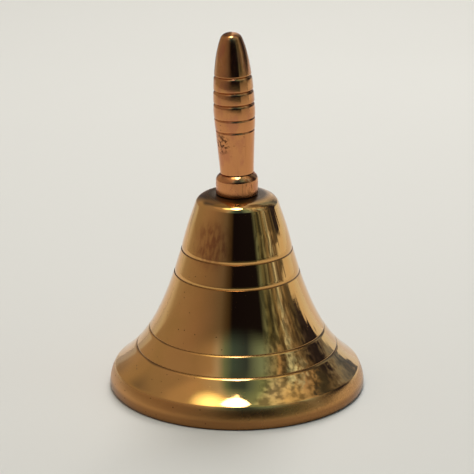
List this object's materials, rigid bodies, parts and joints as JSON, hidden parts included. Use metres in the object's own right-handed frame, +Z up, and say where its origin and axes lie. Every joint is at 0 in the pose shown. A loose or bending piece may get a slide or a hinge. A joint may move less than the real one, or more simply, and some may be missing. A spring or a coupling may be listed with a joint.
{
  "type": "sanctus bell",
  "caption": "Turned brass altar hand bell with a grooved grip, a collar and a link-hung clapper inside.",
  "frame": {"origin": "centre of the bell's mouth, in the plane of its flat rim, on which it stands", "axes": "+Z up along the bell's axis to the grip; the grip leans slightly towards -X; the pictured side faces -Y"},
  "size_m": [0.092, 0.092, 0.1307],
  "materials": {
    "bell_brass": "mirror polished, with fine turning marks and small cast pits",
    "handle_brass": "polished, coppery, with handling scratches",
    "clapper_brass": "turned, slightly tarnished",
    "zinc_steel": "zinc plated, dulled"
  },
  "bodies": {
    "bell": {"bell_body": "bell_brass", "handle_collar": "handle_brass", "handle_grip": "handle_brass", "eye_stud": "zinc_steel", "crown_washer": "zinc_steel", "lock_nut": "zinc_steel"},
    "link": {"clapper_link": "zinc_steel"},
    "clapper": {"clapper_shank": "zinc_steel", "clapper_ball": "clapper_brass"}
  },
  "joints": [
    {"name": "link_swing", "type": "hinge", "parent": "bell", "child": "link", "pos_m": [0, 0, 0.0552], "axis": [1, 0, 0], "range_deg": [-10, 10]},
    {"name": "clapper_swing", "type": "hinge", "parent": "link", "child": "clapper", "pos_m": [0, 0, 0.0466], "axis": [0, 1, 0], "range_deg": [-35, 35]}
  ]
}
